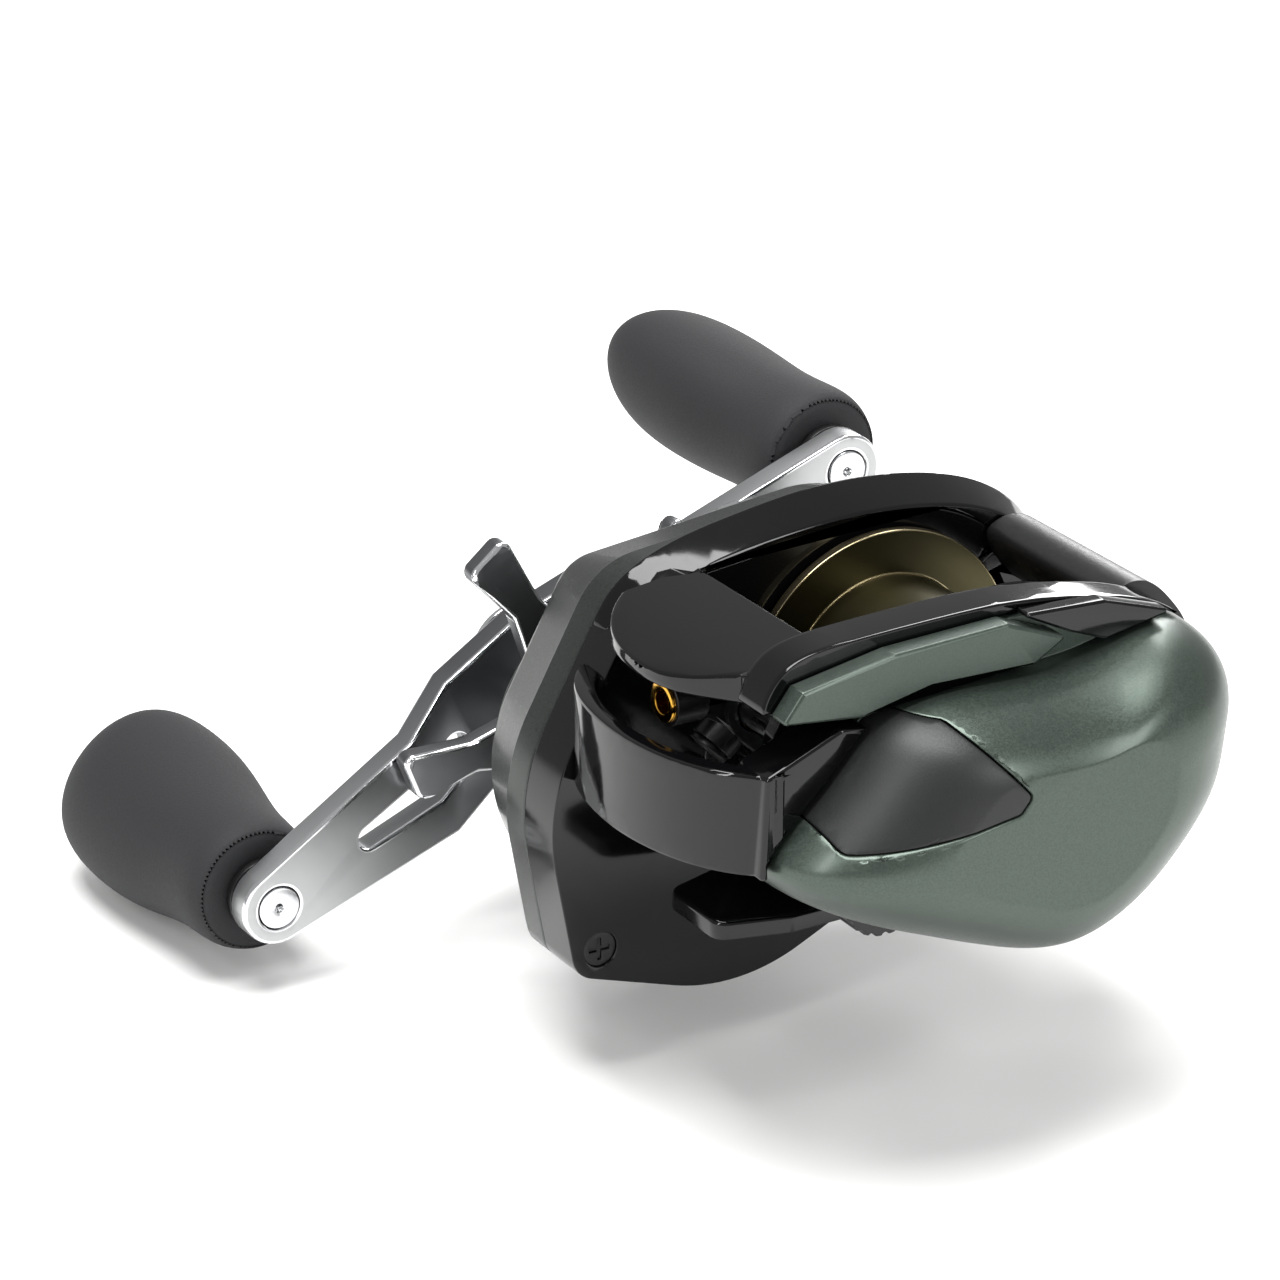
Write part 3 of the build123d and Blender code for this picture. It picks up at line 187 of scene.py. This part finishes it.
def rounded_copy(node, width, finish, body, slot, edge_finish=None):
    """A CAD node with its points merged, its flats made whole and its sharp edges rounded.

    A point that the rounding throws more than STRAY_SHARE of its width off the node's skin
    is put back on the skin, so that no corner grows a spike.
    """
    mesh = bmesh.new()
    mesh.from_mesh(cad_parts[node].data)
    bmesh.ops.remove_doubles(mesh, verts=mesh.verts, dist=SAME_POINT)
    bmesh.ops.dissolve_limit(mesh, angle_limit=FLAT_WITHIN, verts=mesh.verts, edges=mesh.edges)
    for face in mesh.faces:
        face.smooth = True
        face.material_index = 0
    mesh.normal_update()
    skin_of = BVHTree.FromBMesh(mesh)
    paired = [edge for edge in mesh.edges if len(edge.link_faces) == 2]
    sharp = [edge for edge in paired if edge.calc_face_angle(0.0) > EDGE_OVER]
    bmesh.ops.bevel(
        mesh, geom=sharp, offset=width, offset_type="OFFSET", affect="EDGES", segments=2,
        profile=0.5, material=1 if edge_finish else -1, clamp_overlap=False, loop_slide=True,
    )
    for vertex in mesh.verts:
        place, _, _, away = skin_of.find_nearest(vertex.co)
        if away > STRAY_SHARE * width:
            vertex.co = place
    bmesh.ops.triangulate(mesh, faces=[f for f in mesh.faces if len(f.verts) > 4])
    finishes = [finish, edge_finish] if edge_finish else [finish]
    made = link_mesh("shown_" + node, mesh, finishes, body, slot, node)
    made.data.shade_smooth()
    made.data.set_sharp_from_angle(angle=SHADED_SHARP_OVER)
    flats = made.modifiers.new("flats_stay_flat", "WEIGHTED_NORMAL")
    flats.keep_sharp = True
    return made


rounded_copy("frame", 0.2 * MM, lacquer, "frame", "frame_black")

# ------------------------------------------------------------------ top cover and front guard
# Two mouldings in gloss black ABS, over and in front of the casting. Fine swirls in the
# polish blur the reflections a little and a slow ripple bends them.
cover_paint, tree, shader = new_material(
    "piano_black_abs", Base_Color=linear("070708"), Roughness=0.07, Specular_IOR_Level=0.40
)
where = add(tree, "ShaderNodeTexCoord").outputs["Object"]
swirl = add(tree, "ShaderNodeTexNoise", Vector=where, Scale=2500.0, Detail=4.0)
tone = add(tree, "ShaderNodeMapRange", i0=swirl.outputs[0], i3=0.05, i4=0.10)
tree.links.new(tone.outputs[0], shader.inputs["Roughness"])
ripple = add(tree, "ShaderNodeTexNoise", Vector=where, Scale=260.0, Detail=1.0)
skin = add(tree, "ShaderNodeBump", Strength=0.04, Distance=0.0002, Height=ripple.outputs[0])
tree.links.new(skin.outputs[0], shader.inputs["Normal"])
rounded_copy("top_cover", 0.3 * MM, cover_paint, "frame", "cover_black")
rounded_copy("front_guard", 0.45 * MM, cover_paint, "frame", "cover_black")

# ------------------------------------------------------------------ level wind
# A slotted steel tube round the worm and a thinner rod carry the line guide. Both are
# centreless ground, so fine rings run round them and the light draws long bright lines.
ground, tree, shader = new_material(
    "ground_steel", Base_Color=linear("b9bbbd"), Metallic=1.0, Roughness=0.18
)
where = add(tree, "ShaderNodeTexCoord").outputs["Object"]
stretched = add(tree, "ShaderNodeMapping", Vector=where, Scale=(9000.0, 500.0, 500.0))
rings = add(tree, "ShaderNodeTexNoise", Vector=stretched.outputs[0], Scale=1.0, Detail=3.0)
tone = add(tree, "ShaderNodeMapRange", i0=rings.outputs[0], i3=0.12, i4=0.26)
tree.links.new(tone.outputs[0], shader.inputs["Roughness"])
ROD_EDGE = 0.08 * MM
rounded_copy("guide_tube", ROD_EDGE, ground, "frame", "bearing_steel")
rounded_copy("worm_shaft", ROD_EDGE, ground, "worm", "steel")
rounded_copy("guide_rod", ROD_EDGE, ground, "frame", "steel")

# The guide's carriage is moulded in black acetal: smooth, faintly waxy, with rounded edges.
acetal, tree, shader = new_material(
    "black_acetal", Base_Color=linear("0e0e0f"), Roughness=0.34, Specular_IOR_Level=0.4
)
where = add(tree, "ShaderNodeTexCoord").outputs["Object"]
flow = add(tree, "ShaderNodeTexNoise", Vector=where, Scale=1800.0, Detail=4.0)
skin = add(tree, "ShaderNodeBump", Strength=0.12, Distance=0.0001, Height=flow.outputs[0])
tree.links.new(skin.outputs[0], shader.inputs["Normal"])
tone = add(tree, "ShaderNodeMapRange", i0=flow.outputs[0], i3=0.30, i4=0.46)
tree.links.new(tone.outputs[0], shader.inputs["Roughness"])
rounded_copy("line_guide_carriage", 0.12 * MM, acetal, "line_guide", "black_plastic")
rounded_copy("pawl_cap", 0.15 * MM, acetal, "line_guide", "black_plastic")

# Its eye is a hard ring, plated gold by a vacuum process and polished like a mirror.
plated, tree, shader = new_material(
    "titanium_nitride", Base_Color=linear("d9a441"), Metallic=1.0, Roughness=0.14
)
where = add(tree, "ShaderNodeTexCoord").outputs["Object"]
haze = add(tree, "ShaderNodeTexNoise", Vector=where, Scale=1500.0, Detail=2.0)
tone = add(tree, "ShaderNodeMapRange", i0=haze.outputs[0], i3=0.10, i4=0.20)
tree.links.new(tone.outputs[0], shader.inputs["Roughness"])
rounded_copy("line_guide_eye", 0.2 * MM, plated, "line_guide", "gold_eye")

# ------------------------------------------------------------------ spool
# Turned from aluminium bar and anodised dark bronze; the rims are cut again after
# anodising to a pale champagne band. Turning leaves fine rings about the axis.
LATHE_MARK = 0.12 * MM
RIM_STARTS = 15.9 * MM
spool_low, spool_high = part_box("spool")
axis_y = (spool_low.y + spool_high.y) / 2
axis_z = (spool_low.z + spool_high.z) / 2


def turned_metal(name, colour, roughness, pitch, centre_y, centre_z):
    """Metal turned on a lathe about an axis along X, with rings one pitch apart."""
    made, tree, shader = new_material(
        name, Base_Color=linear(colour), Metallic=1.0, Roughness=roughness
    )
    where = add(tree, "ShaderNodeTexCoord").outputs["Object"]
    middle = (0.0, -centre_y, -centre_z)
    centred = add(tree, "ShaderNodeMapping", Vector=where, Location=middle)
    apart = add(tree, "ShaderNodeSeparateXYZ", i0=centred.outputs[0])
    flat = add(tree, "ShaderNodeCombineXYZ", Y=apart.outputs[1], Z=apart.outputs[2])
    out = add(tree, "ShaderNodeVectorMath", {"operation": "LENGTH"}, i0=flat.outputs[0])
    place = add(tree, "ShaderNodeCombineXYZ", X=out.outputs["Value"], Y=apart.outputs[0])
    rings = add(
        tree, "ShaderNodeTexNoise", Vector=place.outputs[0], Scale=1.0 / pitch, Detail=2.0
    )
    smooth, rough = roughness - 0.07, roughness + 0.09
    tone = add(tree, "ShaderNodeMapRange", i0=rings.outputs[0], i3=smooth, i4=rough)
    tree.links.new(tone.outputs[0], shader.inputs["Roughness"])
    cut = add(tree, "ShaderNodeBump", Strength=0.1, Distance=0.00005, Height=rings.outputs[0])
    tree.links.new(cut.outputs[0], shader.inputs["Normal"])
    return made


anodised = turned_metal("bronze_anodised_aluminium", "4a4632", 0.30, LATHE_MARK, axis_y, axis_z)
champagne = turned_metal(
    "champagne_anodised_aluminium", "b3a684", 0.22, LATHE_MARK, axis_y, axis_z
)
spool = rounded_copy(
    "spool", 0.18 * MM, anodised, "spool", "spool_bronze", edge_finish=champagne
)
for polygon in spool.data.polygons:
    spot = polygon.center
    if math.hypot(spot.y - axis_y, spot.z - axis_z) > RIM_STARTS:
        polygon.material_index = 1

# ------------------------------------------------------------------ thumb bar
# A bar moulded in the same black acetal as the guide's carriage, satin to the eye. It lies
# behind the spool between the side walls and is pushed down to free the spool.
rounded_copy("thumb_bar", 0.15 * MM, acetal, "thumb_bar", "black_plastic")

# ------------------------------------------------------------------ handle side plate
# Die cast cover over the gears, painted dark grey with fine metal flake under a satin coat
# and held by three black screws.
FLAKES_PER_METRE = 6500.0  # flakes of 0.15 mm, coarser than the real ones so that they show


def flake_paint(name, colour, metallic, coat, coat_roughness, smooth, rough):
    """Metal flake paint under a clear coat: each flake has its own tone and its own gloss."""
    made, tree, shader = new_material(
        name, Base_Color=linear(colour), Metallic=metallic, Coat_Weight=coat,
        Coat_Roughness=coat_roughness,
    )
    where = add(tree, "ShaderNodeTexCoord").outputs["Object"]
    flakes = add(tree, "ShaderNodeTexVoronoi", Vector=where, Scale=FLAKES_PER_METRE)
    shade = add(tree, "ShaderNodeMapRange", i0=flakes.outputs["Color"], i3=0.82, i4=1.15)
    toned = add(
        tree, "ShaderNodeMix", {"data_type": "RGBA", "blend_type": "MULTIPLY"},
        i0=1.0, i6=linear(colour), i7=shade.outputs[0],
    )
    tree.links.new(toned.outputs[2], shader.inputs["Base Color"])
    tone = add(tree, "ShaderNodeMapRange", i0=flakes.outputs["Color"], i3=smooth, i4=rough)
    tree.links.new(tone.outputs[0], shader.inputs["Roughness"])
    return made


flake_grey = flake_paint("grey_flake_paint", "3c3f3d", 0.8, 0.25, 0.12, 0.26, 0.42)
rounded_copy("handle_side_plate", 0.4 * MM, flake_grey, "frame", "plate_grey")
rounded_copy("side_plate_screws", 0.1 * MM, acetal, "frame", "screw_black")

# ------------------------------------------------------------------ cast control cap
# A ribbed cap turned from aluminium and polished, screwed over the spool shaft's end. Turned
# further in, it brakes the spool.
CAP_MARK = 0.10 * MM
bright = turned_metal("polished_aluminium", "d5d6d8", 0.16, CAP_MARK, axis_y, axis_z)
rounded_copy("cast_control_cap", 0.15 * MM, bright, "cast_cap", "star_alloy")

# ------------------------------------------------------------------ star drag
# A five-armed wheel of cast alloy on the drive shaft's thread, which squeezes the drag
# washers. Its faces are satin and dark, and its edges are polished bright.
STAR_MARK = 0.15 * MM
shaft_low, shaft_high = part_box("drive_shaft")
drive_y = (shaft_low.y + shaft_high.y) / 2
drive_z = (shaft_low.z + shaft_high.z) / 2
star_edge = turned_metal("polished_star_edge", "e2e3e5", 0.10, STAR_MARK, drive_y, drive_z)
star_face = turned_metal("satin_star_face", "6d6e70", 0.36, STAR_MARK, drive_y, drive_z)
rounded_copy("star_drag", 0.45 * MM, star_face, "star", "star_alloy", edge_finish=star_edge)

# ------------------------------------------------------------------ handle
# A swept arm pressed from aluminium plate and bead blasted, darker towards the middle, with
# polished edges. A nut and its retainer hold it to the drive shaft, and a pin in each end
# carries a knob.
FADE_FROM = 12 * MM
FADE_TO = 38 * MM
arm_face, tree, shader = new_material(
    "blasted_aluminium", Base_Color=linear("a9aaab"), Metallic=1.0, Roughness=0.36
)
where = add(tree, "ShaderNodeTexCoord").outputs["Object"]
centred = add(
    tree, "ShaderNodeMapping", Vector=where, Location=(0.0, -drive_y, -drive_z),
    Scale=(0.0, 1.0, 1.0),
)
out = add(tree, "ShaderNodeVectorMath", {"operation": "LENGTH"}, i0=centred.outputs[0])
fade = add(tree, "ShaderNodeMapRange", i0=out.outputs["Value"], i1=FADE_FROM, i2=FADE_TO)
colour = add(
    tree, "ShaderNodeMix", {"data_type": "RGBA"},
    i0=fade.outputs[0], i6=linear("6c6d6f"), i7=linear("b4b5b6"),
)
tree.links.new(colour.outputs[2], shader.inputs["Base Color"])
beads = add(tree, "ShaderNodeTexNoise", Vector=where, Scale=6000.0, Detail=3.0)
tone = add(tree, "ShaderNodeMapRange", i0=beads.outputs[0], i3=0.28, i4=0.44)
tree.links.new(tone.outputs[0], shader.inputs["Roughness"])
rounded_copy("handle_arm", 0.45 * MM, arm_face, "drive", "handle_alloy", edge_finish=star_edge)
rounded_copy("handle_nut", 0.2 * MM, star_edge, "drive", "star_alloy")
rounded_copy("nut_retainer", 0.2 * MM, star_edge, "drive", "star_alloy")
rounded_copy("retainer_screw", 0.1 * MM, acetal, "drive", "screw_black")
rounded_copy("knob_shafts", 0.15 * MM, star_edge, "drive", "handle_alloy")
rounded_copy("knob_washers", 0.15 * MM, acetal, "drive", "black_plastic")
rounded_copy("drive_shaft", 0.2 * MM, ground, "drive", "steel")
rounded_copy("handle_collar", 0.2 * MM, ground, "drive", "steel")

# ------------------------------------------------------------------ knobs
# Two grips moulded in soft black rubber over plastic sleeves, which turn on the pins. The
# skin is finely grained, so highlights on it are wide and dull.
rubber, tree, shader = new_material(
    "soft_rubber", Base_Color=linear("232325"), Roughness=0.62, Specular_IOR_Level=0.35
)
where = add(tree, "ShaderNodeTexCoord").outputs["Object"]
grain = add(tree, "ShaderNodeTexNoise", Vector=where, Scale=3800.0, Detail=4.0)
skin = add(tree, "ShaderNodeBump", Strength=0.25, Distance=0.0001, Height=grain.outputs[0])
tree.links.new(skin.outputs[0], shader.inputs["Normal"])
tone = add(tree, "ShaderNodeMapRange", i0=grain.outputs[0], i3=0.62, i4=0.82)
tree.links.new(tone.outputs[0], shader.inputs["Roughness"])
for side in ("front", "rear"):
    rounded_copy("knob_" + side, 0.8 * MM, rubber, "knob_" + side, "knob_rubber")

# ------------------------------------------------------------------ palm side plate
# The cover that the palm rests on: a thin moulding in sage green flake paint, with a charcoal
# panel let into it, a green blade and a gloss black strip. The brake dial and the catch
# lever turn on its inner side.
sage = flake_paint("sage_flake_paint", "48524b", 0.75, 0.2, 0.18, 0.30, 0.44)
panel_paint, tree, shader = new_material(
    "satin_panel_paint", Base_Color=linear("262727"), Metallic=0.4, Roughness=0.40
)
where = add(tree, "ShaderNodeTexCoord").outputs["Object"]
grain = add(tree, "ShaderNodeTexNoise", Vector=where, Scale=4200.0, Detail=3.0)
skin = add(tree, "ShaderNodeBump", Strength=0.12, Distance=0.0001, Height=grain.outputs[0])
tree.links.new(skin.outputs[0], shader.inputs["Normal"])
tone = add(tree, "ShaderNodeMapRange", i0=grain.outputs[0], i3=0.34, i4=0.5)
tree.links.new(tone.outputs[0], shader.inputs["Roughness"])
rounded_copy("palm_side_plate", 0.35 * MM, sage, "palm", "palm_green")
rounded_copy("palm_panel", 0.15 * MM, panel_paint, "palm", "panel_grey")
rounded_copy("palm_blade", 0.4 * MM, sage, "palm", "palm_green")
rounded_copy("palm_strip", 0.3 * MM, cover_paint, "palm", "strip_black")
rounded_copy("brake_dial", 0.15 * MM, acetal, "dial", "black_plastic")
rounded_copy("plate_catch_lever", 0.3 * MM, acetal, "catch", "black_plastic")

# ------------------------------------------------------------------ inside
# What the covers hide: gears cut in brass or moulded in nylon, ground steel shafts and
# bearings, acetal brake parts and woven carbon drag washers. They keep their plain shapes.
brass, tree, shader = new_material(
    "machined_brass", Base_Color=linear("c79a52"), Metallic=1.0, Roughness=0.25
)
where = add(tree, "ShaderNodeTexCoord").outputs["Object"]
marks = add(tree, "ShaderNodeTexNoise", Vector=where, Scale=3000.0, Detail=3.0)
tone = add(tree, "ShaderNodeMapRange", i0=marks.outputs[0], i3=0.18, i4=0.34)
tree.links.new(tone.outputs[0], shader.inputs["Roughness"])
nylon, tree, shader = new_material("natural_nylon", Base_Color=linear("d9d4c6"), Roughness=0.5)
where = add(tree, "ShaderNodeTexCoord").outputs["Object"]
marks = add(tree, "ShaderNodeTexNoise", Vector=where, Scale=2000.0, Detail=3.0)
tone = add(tree, "ShaderNodeMapRange", i0=marks.outputs[0], i3=0.42, i4=0.58)
tree.links.new(tone.outputs[0], shader.inputs["Roughness"])
carbon, tree, shader = new_material("woven_carbon", Base_Color=linear("1c1c1d"), Roughness=0.45)
where = add(tree, "ShaderNodeTexCoord").outputs["Object"]
weave = add(tree, "ShaderNodeTexChecker", Vector=where, Scale=1000.0)
tone = add(tree, "ShaderNodeMapRange", i0=weave.outputs["Fac"], i3=0.35, i4=0.6)
tree.links.new(tone.outputs[0], shader.inputs["Roughness"])
inside = {
    ground: (
        "spool_shaft", "spool_bearing_handle_side", "yoke_posts", "yoke_springs", "clutch_plate",
        "drive_shaft_bearing", "ratchet_wheel", "drag_key_washer", "drag_pressure_plate",
        "roller_clutch_sleeve", "drag_spring_washers", "roller_clutch", "outer_drive_bearing",
        "spool_bearing_cap_side", "housing_screws", "brake_ring", "spool_bearing_palm_side",
    ),
    acetal: (
        "brake_wheel", "clutch_yoke", "knob_sleeve_front", "knob_sleeve_rear", "brake_housing",
    ),
    nylon: ("brake_weights", "level_wind_drive_gear", "worm_gear"),
    brass: ("pinion_gear", "drive_gear", "level_wind_pawl"),
    carbon: ("drag_washers",),
}
for finish, nodes in inside.items():
    for node in nodes:
        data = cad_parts[node].data
        data.materials.clear()
        data.materials.append(finish)
